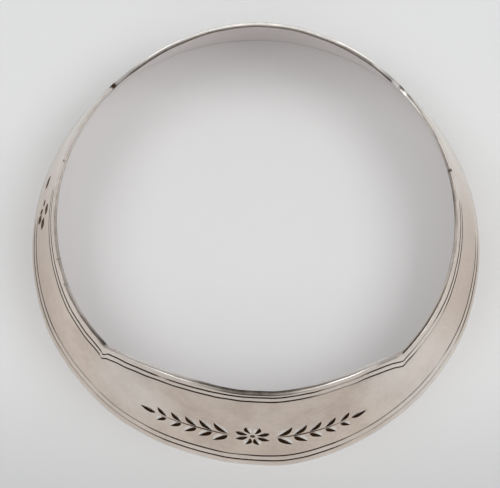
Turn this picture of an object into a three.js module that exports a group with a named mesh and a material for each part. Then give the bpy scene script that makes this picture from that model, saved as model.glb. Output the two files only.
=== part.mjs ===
// Decanter label: a conical neck ring of silver sheet, in millimetres, +Z up.
// The ring stands on its wide foot edge, centred on the origin, and its label plate faces -Y.
// It is two curved strips of sheet, each with a raised plate, joined end to end by two soldered seams.
//
// Angles are degrees round the ring from the middle of the label plate, positive towards +X.
// Heights are measured up the slope of the wall from the foot edge, and depths into the sheet.

import * as THREE from "three";

// Ring
const footRadius = 42; // outside, at the foot edge
const wallLean = 17.6; // degrees that the wall leans inwards from upright
const sheetThickness = 0.8;
const bandHeight = 18.4; // of the low stretches between the plates

// Raised plates, the label plate in front and its twin at the back
const plateRise = 7.1; // of a plate's middle above the low stretches
const plateHalfAngle = 46.7; // from a plate's middle to its shoulder
const archPower = 3.5; // 2 would be a parabola, more is flatter in the middle
const labelPlateAngle = 0;
const backPlateAngle = 180;

// Soldered seams across the wall
const leftSeamAngle = -101;
const rightSeamAngle = 104.7;
const seamWidth = 0.4;
const solderShrink = 0.08; // how far the solder lies below the faces of the sheet

// Engraved border lines, a pair along each edge
const lineWidth = 0.3;
const lineDepth = 0.12;
const footLineMargin = 1.8; // from the foot edge to the first line
const footLineSpacing = 1.7; // from the first line to the second
const bandLineMargin = 1.7; // from the upper edge, on the low stretches
const plateLineMargin = 1.15; // from the upper edge, at a plate's middle
const topLineSpacing = 1.4;

// Fineness of the facets round the ring
const stationStep = 2.5;

const radians = THREE.MathUtils.degToRad;
const leanSine = Math.sin(radians(wallLean));
const leanCosine = Math.cos(radians(wallLean));

// How far along a plate an angle lies: 0 at its middle, 1 at its shoulders and beyond.
function shareFrom(plateAngle, angle) {
  const turn = THREE.MathUtils.euclideanModulo(angle - plateAngle + 180, 360) - 180;
  return Math.min(Math.abs(turn) / plateHalfAngle, 1);
}

function plateShare(angle) {
  return Math.min(shareFrom(labelPlateAngle, angle), shareFrom(backPlateAngle, angle));
}

// Height of the wall's upper edge, arched over each plate.
function edgeHeight(angle) {
  return bandHeight + plateRise * (1 - plateShare(angle) ** archPower);
}

// Distance of the upper pair's first line from the edge. It runs closer at a plate's middle.
function topLineMargin(angle) {
  return THREE.MathUtils.lerp(plateLineMargin, bandLineMargin, plateShare(angle) ** 2);
}

// A point of the wall, at a height up the slope and a depth into the sheet.
function wallPoint(angle, height, depth) {
  const radius = footRadius - height * leanSine - depth * leanCosine;
  const z = height * leanCosine - depth * leanSine;
  return new THREE.Vector3(radius * Math.sin(radians(angle)), -radius * Math.cos(radians(angle)), z);
}

// Section of the sheet: the foot is flat on the table and the upper edge is square to the wall.
function sheetSection(angle) {
  const top = edgeHeight(angle);
  const lineHeights = [
    footLineMargin,
    footLineMargin + footLineSpacing,
    top - topLineMargin(angle) - topLineSpacing,
    top - topLineMargin(angle),
  ];
  const outside = lineHeights.flatMap((height) => [
    [height - lineWidth / 2, 0],
    [height, lineDepth],
    [height + lineWidth / 2, 0],
  ]);
  const footInside = sheetThickness * (leanSine / leanCosine);
  return [[0, 0], ...outside, [top, 0], [top, sheetThickness], [footInside, sheetThickness]];
}

// Section of the solder: the sheet's plain outline, drawn in on every side.
function solderSection(angle) {
  const low = sheetThickness * (leanSine / leanCosine) + solderShrink;
  const high = edgeHeight(angle) - solderShrink;
  return [
    [low, solderShrink],
    [high, solderShrink],
    [high, sheetThickness - solderShrink],
    [low, sheetThickness - solderShrink],
  ];
}

// The angles of a strip's sections: its two ends, even steps, and the shoulders of the plates.
function stationsBetween(start, end) {
  const stations = [start, end];
  const first = Math.ceil(start / stationStep) * stationStep;
  for (let angle = first; angle < end; angle += stationStep) {
    stations.push(angle);
  }
  for (const plateAngle of [labelPlateAngle, backPlateAngle]) {
    for (const side of [-1, 1]) {
      for (const turn of [-360, 0, 360]) {
        stations.push(plateAngle + side * plateHalfAngle + turn);
      }
    }
  }
  const closest = stationStep / 10;
  return stations
    .filter((angle) => angle >= start && angle <= end)
    .sort((a, b) => a - b)
    .filter((angle, i, all) => {
      const isEnd = i === 0 || i === all.length - 1;
      return isEnd || (angle - all[i - 1] > closest && end - angle > closest);
    });
}

// A closed solid swept round the ring from one angle to another, with a section of a fixed number
// of points at every station and a flat face at each end.
function sweptGeometry(stations, sectionAt) {
  const sections = stations.map(sectionAt);
  const count = sections[0].length;
  const positions = [];
  sections.forEach((section, i) => {
    for (const [height, depth] of section) {
      positions.push(...wallPoint(stations[i], height, depth).toArray());
    }
  });

  const indices = [];
  for (let i = 0; i + 1 < sections.length; i++) {
    for (let j = 0; j < count; j++) {
      const near = i * count + j;
      const nearNext = i * count + ((j + 1) % count);
      const far = near + count;
      const farNext = nearNext + count;
      indices.push(near, far, nearNext, nearNext, far, farNext);
    }
  }

  const lastRing = (sections.length - 1) * count;
  for (const [ring, isStart] of [[0, true], [lastRing, false]]) {
    const outline = sections[ring / count].map(([height, depth]) => new THREE.Vector2(height, depth));
    for (const [a, b, c] of THREE.ShapeUtils.triangulateShape(outline, [])) {
      const [second, third] = isStart ? [b, c] : [c, b];
      indices.push(ring + a, ring + second, ring + third);
    }
  }

  const geometry = new THREE.BufferGeometry();
  geometry.setAttribute("position", new THREE.Float32BufferAttribute(positions, 3));
  geometry.setIndex(indices);
  geometry.computeVertexNormals();
  return geometry;
}

const silver = new THREE.MeshStandardMaterial({ color: 0xbdb1a3, roughness: 0.38, metalness: 1 });
const solder = new THREE.MeshStandardMaterial({ color: 0x8c8478, roughness: 0.5, metalness: 1 });

// Half of a seam's width as an angle, measured at the foot.
const seamHalfAngle = THREE.MathUtils.radToDeg(seamWidth / 2 / footRadius);

function addStrip(name, startSeam, endSeam) {
  const stations = stationsBetween(startSeam + seamHalfAngle, endSeam - seamHalfAngle);
  const strip = new THREE.Mesh(sweptGeometry(stations, sheetSection), silver);
  strip.name = name;
  ring.add(strip);
}

function addSeam(name, seamAngle) {
  const stations = [seamAngle - seamHalfAngle, seamAngle + seamHalfAngle];
  const seam = new THREE.Mesh(sweptGeometry(stations, solderSection), solder);
  seam.name = name;
  ring.add(seam);
}

const ring = new THREE.Group();
addStrip("front_label_band", leftSeamAngle, rightSeamAngle);
addStrip("back_band", rightSeamAngle, leftSeamAngle + 360);
addSeam("left_solder_seam", leftSeamAngle);
addSeam("right_solder_seam", rightSeamAngle);

export default ring;
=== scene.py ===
"""Decanter label: a conical neck ring of engraved silver sheet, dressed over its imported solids.

The ring stands on its wide foot edge, centred on the origin, and its label plate faces -Y.
Angles are degrees round the ring from the middle of the label plate, positive towards +X.
Heights run up the slope of the wall from the foot edge, and depths run into the sheet.
Lengths are metres.
"""

import logging
import math
from collections.abc import Callable, Iterator, Sequence
from dataclasses import dataclass, field
from enum import Enum
from typing import NamedTuple, TypeVar

import bpy
from mathutils import Matrix, Vector, noise
from mathutils.geometry import delaunay_2d_cdt


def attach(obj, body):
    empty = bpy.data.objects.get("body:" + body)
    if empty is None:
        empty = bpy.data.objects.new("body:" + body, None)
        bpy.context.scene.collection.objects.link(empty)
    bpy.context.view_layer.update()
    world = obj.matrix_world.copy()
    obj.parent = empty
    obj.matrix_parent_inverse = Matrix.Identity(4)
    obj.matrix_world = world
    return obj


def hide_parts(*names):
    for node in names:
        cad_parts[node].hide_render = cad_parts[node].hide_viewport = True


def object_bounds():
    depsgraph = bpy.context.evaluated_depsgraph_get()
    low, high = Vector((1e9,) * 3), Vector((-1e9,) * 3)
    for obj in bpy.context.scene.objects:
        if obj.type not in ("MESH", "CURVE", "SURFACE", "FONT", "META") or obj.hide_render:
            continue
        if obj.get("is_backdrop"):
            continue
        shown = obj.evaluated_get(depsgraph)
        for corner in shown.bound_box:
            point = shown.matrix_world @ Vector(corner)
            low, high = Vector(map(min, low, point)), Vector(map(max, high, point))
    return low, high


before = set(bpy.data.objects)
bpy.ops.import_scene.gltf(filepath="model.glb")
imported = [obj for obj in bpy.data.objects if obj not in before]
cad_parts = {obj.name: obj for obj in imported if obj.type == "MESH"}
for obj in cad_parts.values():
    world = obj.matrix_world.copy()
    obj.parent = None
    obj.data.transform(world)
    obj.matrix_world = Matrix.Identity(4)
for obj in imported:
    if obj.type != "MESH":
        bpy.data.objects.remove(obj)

LOG = logging.getLogger("decanter_label")

MM = 0.001
HALF_TURN = 180.0
FULL_TURN = 360.0
WALL_PLACE = "wall_place"
BODY = "root"

Colour = tuple[float, float, float]
Item = TypeVar("Item")


def lerp(start: float, end: float, share: float) -> float:
    """Value that lies a share of the way from start to end."""
    return start + (end - start) * share


def smooth(share: float) -> float:
    """Eased share, held between 0 and 1."""
    held = min(max(share, 0.0), 1.0)
    return held * held * (3.0 - 2.0 * held)


def turn_between(angle: float, other: float) -> float:
    """Smaller turn between two angles, in degrees, without its sign."""
    return abs((angle - other + HALF_TURN) % FULL_TURN - HALF_TURN)


def eased(knots: Sequence[Sequence[float]], angle: float) -> list[float]:
    """Values at an angle, eased from knot to knot all round the ring.

    Args:
        knots: An angle and its values each, in order round the ring.
        angle: Place round the ring, in degrees.

    Returns:
        The values there, as many as each knot holds after its angle.
    """
    first = knots[0][0]
    place = (angle - first) % FULL_TURN + first
    ahead = [*knots[1:], (first + FULL_TURN, *knots[0][1:])]
    near, far = next(pair for pair in zip(knots, ahead) if place <= pair[1][0])
    share = smooth((place - near[0]) / (far[0] - near[0]))
    return [lerp(start, end, share) for start, end in zip(near[1:], far[1:])]


def waver(angle: float, steps_per_turn: float, track: float) -> float:
    """Smooth hand-made unevenness round the ring, about -1 to 1.

    Args:
        angle: Place round the ring, in degrees.
        steps_per_turn: How many times it can change in one turn.
        track: Any number, so that each use wavers in its own way.

    Returns:
        The unevenness there, the same at 0 and at 360 degrees.
    """
    reach = steps_per_turn / (2.0 * math.pi)
    turn = math.radians(angle)
    return 2.0 * noise.noise(Vector((reach * math.cos(turn), reach * math.sin(turn), track)))


def neighbours(loop: Sequence[Item]) -> Iterator[tuple[Item, Item]]:
    """Each item of a closed loop, with the one that follows it."""
    return zip(loop, [*loop[1:], loop[0]])


def direction(azimuth: float, elevation: float) -> Vector:
    """Direction in which something stands, seen from the ring.

    Args:
        azimuth: Turn from the front of the ring, in degrees, positive towards +X.
        elevation: Rise above the floor, in degrees.

    Returns:
        The direction, of length 1.
    """
    turn, rise = math.radians(azimuth), math.radians(elevation)
    return Vector((math.sin(turn) * math.cos(rise), -math.cos(turn) * math.cos(rise), math.sin(rise)))


def linked(name: str, data: bpy.types.ID) -> bpy.types.Object:
    """Makes an object of a mesh, a lamp or a camera, at the origin.

    Args:
        name: Name of the object.
        data: What the object shows.

    Returns:
        The object, linked to the scene.
    """
    made = bpy.data.objects.new(name, data)
    bpy.context.scene.collection.objects.link(made)
    return made


@dataclass(frozen=True)
class RingSizes:
    """Driving sizes of the ring of sheet, in metres and degrees."""

    foot_radius: float
    plate_height: float
    lean: float = 17.6
    thickness: float = 0.8 * MM
    band_height: float = 18.4 * MM
    plate_half_angle: float = 46.7
    arch_power: float = 3.5
    label_plate_angle: float = 0.0
    back_plate_angle: float = 180.0
    left_seam_angle: float = -101.0
    right_seam_angle: float = 104.7
    seam_width: float = 0.4 * MM
    edge_rounding: float = 0.15 * MM
    inner_foot_rounding: float = 0.01 * MM

    @classmethod
    def from_box(cls, low: Vector, high: Vector) -> "RingSizes":
        """Sizes of the ring that fills a box.

        Args:
            low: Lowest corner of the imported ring.
            high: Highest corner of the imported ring.

        Returns:
            The sizes, with the foot radius and the plate's height taken from the box.
        """
        rise = math.cos(math.radians(cls.lean))
        return cls(foot_radius=(high.x - low.x) / 2.0, plate_height=high.z / rise)

    @property
    def seam_half_angle(self) -> float:
        """Half of a seam's width as an angle at the foot."""
        return math.degrees(self.seam_width / 2.0 / self.foot_radius)


class Bend(NamedTuple):
    """How far the wall lies inside a true cone at an angle: at its foot and at the plate's height.

    Both are in millimetres, and the angle is in degrees.
    """

    angle: float
    foot: float
    top: float


HAND_BENDS = (
    Bend(-180.0, 0.0, -0.42),
    Bend(-168.0, 0.0, -0.20),
    Bend(-155.0, 0.0, 0.12),
    Bend(-143.0, 0.0, 0.19),
    Bend(-131.0, 0.0, 0.0),
    Bend(-80.0, 0.0, 0.0),
    Bend(-65.0, -0.10, 0.12),
    Bend(-55.0, 0.10, 0.30),
    Bend(-49.0, 0.20, 0.45),
    Bend(-45.0, 0.20, 0.35),
    Bend(-38.0, 0.17, 0.38),
    Bend(-28.0, 0.34, 0.38),
    Bend(-15.0, 0.47, 0.42),
    Bend(-4.0, 0.20, 0.15),
    Bend(10.0, -0.33, -0.25),
    Bend(20.0, -0.17, -0.28),
    Bend(27.0, -0.04, -0.25),
    Bend(38.0, 0.0, -0.05),
    Bend(52.0, -0.08, 0.0),
    Bend(66.0, -0.14, 0.0),
    Bend(80.0, 0.0, 0.0),
    Bend(125.0, 0.0, 0.0),
    Bend(145.0, 0.0, -0.10),
    Bend(160.0, 0.0, -0.15),
    Bend(171.0, 0.0, -0.37),
)


@dataclass(frozen=True)
class Unevenness:
    """How far the hand-bent wall strays from a true cone, in metres and degrees."""

    bends: tuple[Bend, ...] = HAND_BENDS
    dent_depth: float = 0.03 * MM
    dent_size: float = 11.0 * MM
    edge_waver: float = 0.05 * MM
    edge_steps: float = 70.0
    edge_track: float = 3.0


class Wall:
    """The leaning wall of the ring, which every piece is placed on."""

    def __init__(self, sizes: RingSizes, unevenness: Unevenness) -> None:
        """Keeps the sizes and works out the lean of the wall.

        Args:
            sizes: Driving sizes of the ring.
            unevenness: How far the wall strays from a true cone.
        """
        self.sizes = sizes
        self.unevenness = unevenness
        self.sine = math.sin(math.radians(sizes.lean))
        self.cosine = math.cos(math.radians(sizes.lean))
        self.foot_slope = self.sine / self.cosine

    def plate_turn(self, angle: float) -> float:
        """Turn from the middle of the nearer plate, in degrees."""
        sizes = self.sizes
        return min(
            turn_between(angle, sizes.label_plate_angle), turn_between(angle, sizes.back_plate_angle)
        )

    def plate_share(self, angle: float) -> float:
        """How far along a plate an angle lies: 0 at its middle, 1 at its shoulders and beyond."""
        return min(self.plate_turn(angle) / self.sizes.plate_half_angle, 1.0)

    def edge_height(self, angle: float) -> float:
        """Height of the upper edge, arched over each plate and slightly uneven.

        Args:
            angle: Place round the ring, in degrees.

        Returns:
            The height of the edge there, up the slope.
        """
        sizes, uneven = self.sizes, self.unevenness
        arch = self.plate_rise * (1.0 - self.plate_share(angle) ** sizes.arch_power)
        hand = uneven.edge_waver * waver(angle, uneven.edge_steps, uneven.edge_track)
        return sizes.band_height + arch + hand

    @property
    def plate_rise(self) -> float:
        """Height of a plate's middle above the low bands."""
        return self.sizes.plate_height - self.sizes.band_height

    def edge_slope(self, angle: float) -> float:
        """Steepness of the arched edge over a plate.

        Args:
            angle: Place round the ring, in degrees.

        Returns:
            The rise over the run, without its sign.
        """
        sizes = self.sizes
        steepness = self.plate_share(angle) ** (sizes.arch_power - 1.0)
        rise_per_degree = self.plate_rise * sizes.arch_power * steepness / sizes.plate_half_angle
        run_per_degree = math.radians(sizes.foot_radius - sizes.band_height * self.sine)
        return rise_per_degree / run_per_degree

    def strayed(self, angle: float, height: float) -> float:
        """How far the wall lies inside a true cone at a place.

        Args:
            angle: Place round the ring, in degrees.
            height: Place up the slope.

        Returns:
            The distance towards the ring's axis, in metres.
        """
        uneven = self.unevenness
        turn = math.radians(angle)
        radius = self.sizes.foot_radius
        place = Vector((radius * math.cos(turn), radius * math.sin(turn), height)) / uneven.dent_size
        foot, top = eased(uneven.bends, angle)
        bend = lerp(foot, top, height / self.sizes.plate_height) * MM
        return bend + uneven.dent_depth * noise.noise(place)

    def point(self, angle: float, height: float, depth: float) -> Vector:
        """Point of the wall.

        Args:
            angle: Place round the ring, in degrees.
            height: Place up the slope.
            depth: Depth into the sheet from its outer face.

        Returns:
            The point, in the ring's own frame.
        """
        radius = self.sizes.foot_radius - height * self.sine - depth * self.cosine
        radius -= self.strayed(angle, height)
        turn = math.radians(angle)
        level = height * self.cosine - depth * self.sine
        return Vector((radius * math.sin(turn), -radius * math.cos(turn), level))

    def arc(self, angle: float) -> float:
        """Length round the ring from the label's middle, at half the height of the low bands."""
        radius = self.sizes.foot_radius - self.sizes.band_height / 2.0 * self.sine
        return radius * math.radians(angle)

    def angle_at(self, arc: float) -> float:
        """Angle of a length round the ring, the reverse of arc."""
        return arc / self.arc(1.0)


class Wear(NamedTuple):
    """Wear of the metal at a place, each from 0 to 1: tarnish that also paints shade, polish that also
    paints highlights, and the inner face's blush.
    """

    tarnish_and_shade: float
    polish_and_sheen: float
    blush: float = 0.0


PLAIN = Wear(0.0, 0.0)
INSIDE = Wear(0.0, 0.0, 1.0)
CUT_END = Wear(0.42, 0.0)
RUBBED_EDGE = Wear(0.0, 0.6)
RUBBED_RIDGE = Wear(0.0, 0.3)
BESIDE_CUT = Wear(0.08, 0.2)


class SectionPoint(NamedTuple):
    """A point of the sheet's section, with the wear of the stretches on both sides of it."""

    height: float
    depth: float
    before: Wear
    after: Wear
    crease: bool = False


class RimTone(NamedTuple):
    """Wear of the upper edge at an angle, in degrees.

    It holds the tarnish and painted shade of the outer bevel, of the bevel's crest, of the flat behind it
    and of the inner corner, and the bevel's polish and painted highlight, each from 0 to 1, and the bevel's
    breadth in millimetres.
    """

    angle: float
    bevel: float
    crest: float
    flat: float
    inner: float
    polish_and_sheen: float
    breadth: float


# Tones of the upper edge, partly tarnish and wear and partly painted light: painted shade where the flat
# mirrors the dark overhead and in the inner corners of the back shoulders, and painted highlights on the
# bevel.
RIM_TONES_AND_PAINTED_LIGHT = (
    # Painted highlight: the bevel at the back is painted bright and polished.
    RimTone(-180.0, 0.00, 0.00, 0.08, 0.80, 1.0, 0.15),
    RimTone(-165.0, 0.00, 0.00, 0.15, 0.85, 1.0, 0.15),
    RimTone(-152.0, 0.15, 0.30, 0.70, 0.88, 0.4, 0.15),
    RimTone(-140.0, 0.15, 0.55, 0.50, 0.88, 0.2, 0.20),
    RimTone(-135.0, 0.15, 0.40, 0.30, 0.55, 0.0, 0.25),
    RimTone(-131.0, 0.10, 0.45, 0.76, 0.68, 0.0, 0.25),
    RimTone(-112.0, 0.10, 0.45, 0.78, 0.66, 0.0, 0.25),
    RimTone(-100.0, 0.10, 0.45, 0.76, 0.64, 0.0, 0.22),
    RimTone(-88.0, 0.10, 0.50, 0.75, 0.64, 0.0, 0.18),
    RimTone(-72.0, 0.10, 0.60, 0.70, 0.55, 0.0, 0.15),
    RimTone(-62.0, 0.10, 0.92, 0.65, 0.35, 0.0, 0.15),
    RimTone(-52.0, 0.15, 0.90, 0.85, 0.60, 0.0, 0.15),
    RimTone(-47.4, 0.60, 0.90, 0.90, 0.90, 0.0, 0.15),
    RimTone(-46.2, 0.00, 0.35, 0.10, 0.00, 0.6, 0.15),
    # Painted highlight on the bevel, left of the label's middle.
    RimTone(-38.0, 0.00, 0.40, 0.05, 0.00, 0.8, 0.20),
    RimTone(-28.0, 0.00, 0.55, 0.08, 0.00, 1.0, 0.25),
    RimTone(-20.0, 0.05, 0.70, 0.25, 0.15, 1.0, 0.28),
    # Painted shade: the flat over the label's middle is darkened for the dark overhead that it mirrors.
    RimTone(-14.0, 0.40, 0.85, 0.82, 0.70, 0.0, 0.32),
    RimTone(-6.0, 0.80, 0.88, 0.88, 0.88, 0.0, 0.42),
    RimTone(3.0, 0.84, 0.88, 0.88, 0.88, 0.0, 0.50),
    RimTone(10.0, 0.60, 0.88, 0.86, 0.80, 0.0, 0.50),
    RimTone(15.0, 0.30, 0.86, 0.80, 0.45, 0.3, 0.45),
    # Painted highlight on the bevel, right of the label's middle.
    RimTone(19.0, 0.10, 0.80, 0.72, 0.25, 0.8, 0.38),
    RimTone(25.0, 0.00, 0.70, 0.45, 0.05, 1.0, 0.35),
    RimTone(31.0, 0.00, 0.50, 0.25, 0.00, 1.0, 0.30),
    RimTone(36.5, 0.05, 0.25, 0.05, 0.00, 0.8, 0.30),
    RimTone(39.5, 0.50, 0.30, 0.00, 0.00, 0.0, 0.40),
    RimTone(43.5, 0.50, 0.20, 0.00, 0.00, 0.0, 0.40),
    RimTone(45.8, 0.10, 0.15, 0.00, 0.00, 0.2, 0.20),
    RimTone(47.0, 0.10, 0.95, 0.95, 0.20, 0.3, 0.15),
    RimTone(56.0, 0.00, 0.90, 0.90, 0.15, 0.6, 0.15),
    RimTone(67.0, 0.05, 0.80, 0.80, 0.15, 0.0, 0.15),
    RimTone(72.0, 0.10, 0.60, 0.55, 0.35, 0.0, 0.15),
    RimTone(86.0, 0.10, 0.55, 0.55, 0.60, 0.0, 0.15),
    RimTone(95.0, 0.10, 0.50, 0.65, 0.85, 0.0, 0.15),
    RimTone(107.0, 0.05, 0.35, 0.92, 0.70, 0.0, 0.28),
    RimTone(122.0, 0.05, 0.35, 0.92, 0.60, 0.0, 0.28),
    RimTone(126.5, 0.10, 0.55, 0.85, 0.45, 0.0, 0.20),
    RimTone(130.5, 0.10, 0.85, 0.85, 0.50, 0.0, 0.15),
    RimTone(131.8, 0.10, 0.60, 0.40, 0.20, 0.0, 0.15),
    # Painted shade in the inner corner of the right back shoulder, then a painted highlight just past it.
    RimTone(132.8, 0.50, 0.95, 0.85, 0.50, 0.0, 0.15),
    RimTone(133.7, 0.80, 0.95, 0.60, 0.20, 0.0, 0.15),
    RimTone(134.6, 0.50, 0.50, 0.00, 0.00, 1.0, 0.15),
    RimTone(135.9, 0.40, 0.40, 0.00, 0.20, 1.0, 0.15),
    RimTone(136.8, 0.30, 0.70, 0.40, 0.95, 0.4, 0.15),
    RimTone(141.0, 0.20, 0.55, 0.20, 0.85, 0.4, 0.15),
    RimTone(144.5, 0.15, 0.50, 0.75, 0.85, 0.2, 0.15),
    RimTone(151.0, 0.15, 0.40, 0.70, 0.85, 0.4, 0.15),
    # Painted highlight: the bevel at the back is painted bright again.
    RimTone(160.0, 0.00, 0.10, 0.30, 0.85, 1.0, 0.15),
)


class Nick(NamedTuple):
    """A dark mark across the upper edge, in degrees and millimetres: a knock, and at the left back shoulder
    also the painted shade of its inner corner.

    A tarnish and shade above 1 keeps it black over more of its width.
    """

    angle: float
    half_width: float
    depth: float
    tarnish_and_shade: float

    def share(self, angle: float) -> float:
        """How strongly the knock shows at an angle, from 0 to 1."""
        return max(0.0, 1.0 - turn_between(angle, self.angle) / self.half_width)


NICKS_AND_CORNER_SHADE = (
    # Painted shade: the dark spot in the inner corner of the left back shoulder, over a small notch.
    Nick(-132.8, 1.4, 0.04, 1.7),
    Nick(-106.0, 0.4, 0.01, 0.95),
    Nick(-76.3, 0.4, 0.01, 0.95),
    Nick(-68.5, 0.9, 0.00, 0.7),
    Nick(104.7, 0.6, 0.01, 1.2),
)


class Edge(Enum):
    """Edge of the sheet that a border line follows."""

    FOOT = "foot"
    TOP = "top"


@dataclass(frozen=True)
class Fade:
    """A stretch where a border line is cut more lightly, in degrees.

    The share of the cut that is left stays at its least over the held share of the width.
    """

    middle: float
    half_width: float
    left: float
    held: float = 0.0

    def share(self, angle: float) -> float:
        """Share of the cut that is left at an angle."""
        way = turn_between(angle, self.middle) / self.half_width
        return lerp(self.left, 1.0, smooth((way - self.held) / (1.0 - self.held)))


@dataclass(frozen=True)
class BorderLine:
    """An engraved line along an edge of the sheet, in metres and degrees.

    The margin is its distance from the edge, and the plate margin the one at the middle of a plate, for a
    line along the top. Where the line is faint, its width, its depth and the drop of its lips keep the faint
    shares, and it is painted bright, rubbed clean and with a painted highlight, where less than the rubbed
    sheen share of it is left.
    The hand's waver shifts its height, and the waver of the hand's pressure takes from its strength.
    """

    edge: Edge
    margin: float
    track: float
    fades: tuple[Fade, ...]
    plate_margin: float = 0.0
    drift: tuple[tuple[float, float], ...] = ()
    width: float = 0.51 * MM
    depth: float = 0.17 * MM
    lip_drop: float = 0.05 * MM
    faint_width: float = 0.6
    faint_depth: float = 0.7
    faint_lip: float = 0.4
    rubbed_sheen_share: float = 0.5
    darkness: float = 1.2
    waver_height: float = 0.05 * MM
    waver_steps: float = 90.0
    pressure_loss: float = 0.12
    pressure_steps: float = 40.0
    pressure_track: float = 5.0

    def height(self, wall: Wall, angle: float) -> float:
        """Height of the line on the wall.

        Over a plate it runs parallel to the arched edge, and it meets the straight line of the low
        band in a sharp corner.

        Args:
            wall: Wall that the line is cut into.
            angle: Place round the ring, in degrees.

        Returns:
            The height of the line's middle.
        """
        hand = self.waver_height * waver(angle, self.waver_steps, self.track)
        if self.edge is Edge.FOOT:
            return self.margin + hand
        drift = eased(self.drift, angle)[0] * MM
        share = wall.plate_share(angle)
        low_line = wall.sizes.band_height - self.margin - drift
        if share >= 1.0:
            return low_line + hand
        margin = lerp(self.plate_margin, self.margin, share**2) + drift
        parallel = wall.edge_height(angle) - margin * math.hypot(1.0, wall.edge_slope(angle))
        return max(low_line, parallel) + hand

    def strength(self, angle: float) -> float:
        """How strongly the line is cut.

        Args:
            angle: Place round the ring, in degrees.

        Returns:
            The strength there, from 0 to 1.
        """
        share = math.prod(fade.share(angle) for fade in self.fades)
        hand = waver(angle, self.pressure_steps, self.track + self.pressure_track)
        pressure = 1.0 - self.pressure_loss * (1.0 - hand)
        return min(max(share * pressure, 0.0), 1.0)

    def groove(self, wall: Wall, angle: float) -> list[SectionPoint]:
        """The line in the sheet's section.

        Args:
            wall: Wall that the line is cut into.
            angle: Place round the ring, in degrees.

        Returns:
            Its lower lip, its bottom and its upper lip.
        """
        strength = self.strength(angle)
        middle = self.height(wall, angle)
        half = self.width / 2.0 * lerp(self.faint_width, 1.0, strength)
        lip = self.lip_drop * lerp(self.faint_lip, 1.0, strength)
        bottom = lip + self.depth * lerp(self.faint_depth, 1.0, strength)
        # The faint stretches are painted bright: rubbed clean, and a painted highlight.
        cut = Wear(min(strength * self.darkness, 1.0), smooth(1.0 - strength / self.rubbed_sheen_share))
        return [
            SectionPoint(middle - half, lip, BESIDE_CUT, cut, crease=True),
            SectionPoint(middle, bottom, cut, cut, crease=True),
            SectionPoint(middle + half, lip, cut, BESIDE_CUT, crease=True),
        ]


# How far the lines along the top lie below their even course, in millimetres, at angles in degrees.
TOP_DRIFT = (
    (-110.0, 0.1),
    (-80.0, 0.25),
    (-60.0, 0.5),
    (-50.0, 0.37),
    (-47.8, 0.37),
    (-46.5, 0.75),
    (-45.0, -0.3),
    (-43.0, -0.2),
    (-38.0, 0.19),
    (-30.0, 0.33),
    (-15.0, 0.36),
    (-4.0, 0.12),
    (5.0, 0.15),
    (20.0, 0.05),
    (38.0, 0.0),
    (42.0, 0.05),
    (45.2, 0.35),
    (47.0, 0.1),
    (52.0, 0.05),
    (65.0, 0.45),
    (85.0, 0.2),
    (110.0, 0.1),
)
# The lines run out before they reach the seams.
FOOT_ENDS = (Fade(-115.0, 24.0, 0.0, 0.75), Fade(110.0, 25.0, 0.0, 0.6))
TOP_ENDS = (Fade(-115.0, 18.5, 0.0, 0.8), Fade(112.0, 19.0, 0.0, 0.7))
FOOT_LINES = (
    BorderLine(
        Edge.FOOT, 1.75 * MM, track=11.0,
        fades=(
            *FOOT_ENDS, Fade(-44.0, 27.0, 0.42, 0.45), Fade(-46.0, 5.0, 0.8), Fade(29.0, 3.0, 0.6),
            Fade(44.0, 26.0, 0.42, 0.65), Fade(61.5, 2.5, 0.4),
        ),
    ),
    BorderLine(
        Edge.FOOT, 3.55 * MM, track=13.0,
        fades=(
            *FOOT_ENDS, Fade(-44.0, 25.0, 0.48, 0.45), Fade(-45.0, 4.0, 0.5), Fade(-4.0, 8.0, 0.75),
            Fade(38.0, 22.0, 0.60, 0.5), Fade(56.0, 6.0, 0.3), Fade(63.0, 4.0, 0.7),
        ),
    ),
)
TOP_LINES = (
    BorderLine(
        Edge.TOP, 3.15 * MM, track=17.0, plate_margin=2.5 * MM, drift=TOP_DRIFT,
        fades=(
            *TOP_ENDS, Fade(-47.0, 0.7, 0.25), Fade(24.5, 12.0, 0.5, 0.2), Fade(58.0, 11.0, 0.36, 0.4),
        ),
    ),
    BorderLine(
        Edge.TOP, 1.65 * MM, track=19.0, plate_margin=1.1 * MM, drift=TOP_DRIFT,
        fades=(
            *TOP_ENDS, Fade(-47.0, 0.5, 0.3), Fade(-27.0, 3.0, 0.3), Fade(26.0, 11.0, 0.42, 0.2),
            Fade(55.5, 9.0, 0.32, 0.3),
        ),
    ),
)
# Number of points that a border line has in the section.
LINE_POINTS = 3


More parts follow.
